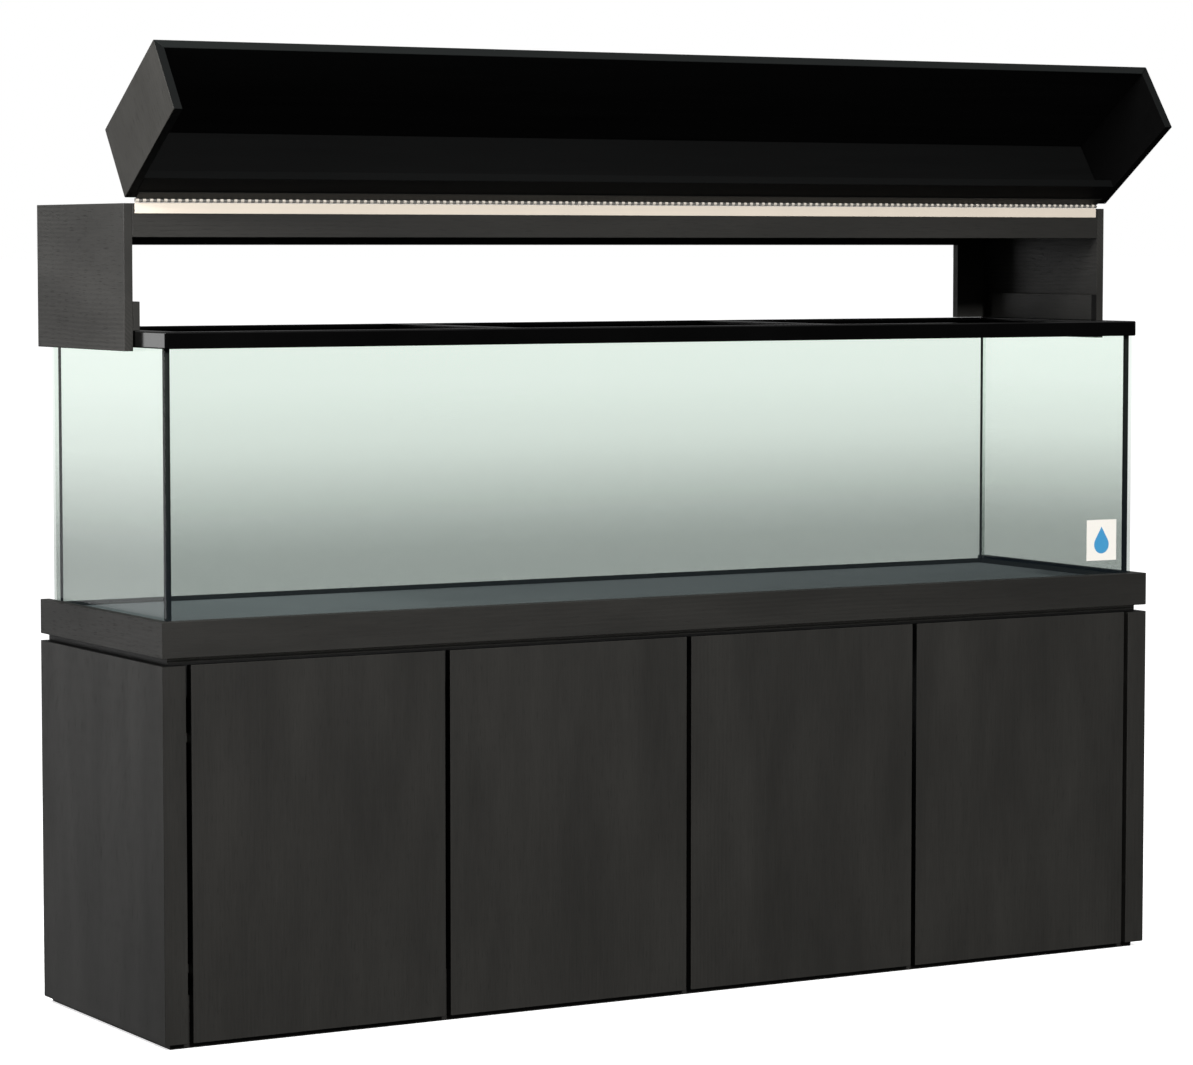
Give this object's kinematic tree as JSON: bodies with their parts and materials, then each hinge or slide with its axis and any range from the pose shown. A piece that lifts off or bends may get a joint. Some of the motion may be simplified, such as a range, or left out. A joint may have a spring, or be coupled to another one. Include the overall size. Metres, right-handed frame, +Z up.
{
  "type": "aquarium on stand",
  "caption": "Long rectangular glass aquarium on a dark wood cabinet stand with flush inset doors, under a hinged-lid canopy that stands open.",
  "frame": {"origin": "centre of the stand's footprint, on the floor, in the underside of the plinth's centre sleeper", "axes": "+Z up, +X to the right along the tank's length seen from the front, +Y towards the back; the doors face -Y"},
  "size_m": [2.482, 0.717, 2.0385],
  "materials": {
    "black_brown_wood": "satin black-brown stain over fine open-pore grain",
    "tank_glass": "clear float glass, slightly green, with a soft grey-green haze to the bottom",
    "black_silicone": "smooth tooled black silicone",
    "foam_mat": "closed-cell black foam",
    "black_plastic": "moulded black plastic, half gloss",
    "cup_hinge_nickel": "nickel plate",
    "piano_hinge_steel": "warm nickel plate, satin"
  },
  "bodies": {
    "stand": {"plinth_front": "black_brown_wood", "plinth_back": "black_brown_wood", "plinth_left": "black_brown_wood", "plinth_right": "black_brown_wood", "plinth_sleeper": "black_brown_wood", "cabinet_floor": "black_brown_wood", "side_panel_left": "black_brown_wood", "side_panel_right": "black_brown_wood", "front_stile_left": "black_brown_wood", "front_stile_right": "black_brown_wood", "center_partition": "black_brown_wood", "cabinet_back": "black_brown_wood", "neck_frame": "black_brown_wood", "deck": "black_brown_wood", "skirt_front": "black_brown_wood", "skirt_left": "black_brown_wood", "skirt_right": "black_brown_wood", "canopy_end_left": "black_brown_wood", "canopy_end_right": "black_brown_wood", "canopy_cleat_left": "black_brown_wood", "canopy_cleat_right": "black_brown_wood", "canopy_rail_front": "black_brown_wood", "canopy_back": "black_brown_wood", "canopy_top": "black_brown_wood", "glass_front": "tank_glass", "glass_back": "tank_glass", "glass_left": "tank_glass", "glass_right": "tank_glass", "glass_bottom": "tank_glass", "silicone_seal": "black_silicone", "foam_mat": "foam_mat", "top_rim": "black_plastic", "hinge_arm_1_bottom": "cup_hinge_nickel", "hinge_arm_1_top": "cup_hinge_nickel", "hinge_arm_2_bottom": "cup_hinge_nickel", "hinge_arm_2_top": "cup_hinge_nickel", "hinge_arm_3_bottom": "cup_hinge_nickel", "hinge_arm_3_top": "cup_hinge_nickel", "hinge_arm_4_bottom": "cup_hinge_nickel", "hinge_arm_4_top": "cup_hinge_nickel", "piano_hinge_frame_leaf": "piano_hinge_steel", "piano_hinge_pin": "piano_hinge_steel"},
    "lid": {"lid_front": "black_brown_wood", "lid_end_left": "black_brown_wood", "lid_end_right": "black_brown_wood", "lid_top": "black_brown_wood", "lid_rail": "black_brown_wood", "piano_hinge_lid_leaf": "piano_hinge_steel"},
    "door_1": {"door_1": "black_brown_wood", "hinge_cup_1_bottom": "cup_hinge_nickel", "hinge_cup_1_top": "cup_hinge_nickel"},
    "door_2": {"door_2": "black_brown_wood", "hinge_cup_2_bottom": "cup_hinge_nickel", "hinge_cup_2_top": "cup_hinge_nickel"},
    "door_3": {"door_3": "black_brown_wood", "hinge_cup_3_bottom": "cup_hinge_nickel", "hinge_cup_3_top": "cup_hinge_nickel"},
    "door_4": {"door_4": "black_brown_wood", "hinge_cup_4_bottom": "cup_hinge_nickel", "hinge_cup_4_top": "cup_hinge_nickel"}
  },
  "joints": [
    {"name": "lid_hinge", "type": "hinge", "parent": "stand", "child": "lid", "pos_m": [0, -0.1472, 1.7214], "axis": [1, 0, 0], "range_deg": [-55, 125]},
    {"name": "door_1_hinge", "type": "hinge", "parent": "stand", "child": "door_1", "pos_m": [-1.174, -0.317, 0.399], "axis": [0, 0, -1], "range_deg": [0, 105]},
    {"name": "door_2_hinge", "type": "hinge", "parent": "stand", "child": "door_2", "pos_m": [-0.009, -0.317, 0.399], "axis": [0, 0, 1], "range_deg": [0, 90]},
    {"name": "door_3_hinge", "type": "hinge", "parent": "stand", "child": "door_3", "pos_m": [0.009, -0.317, 0.399], "axis": [0, 0, -1], "range_deg": [0, 90]},
    {"name": "door_4_hinge", "type": "hinge", "parent": "stand", "child": "door_4", "pos_m": [1.174, -0.317, 0.399], "axis": [0, 0, 1], "range_deg": [0, 105]}
  ]
}
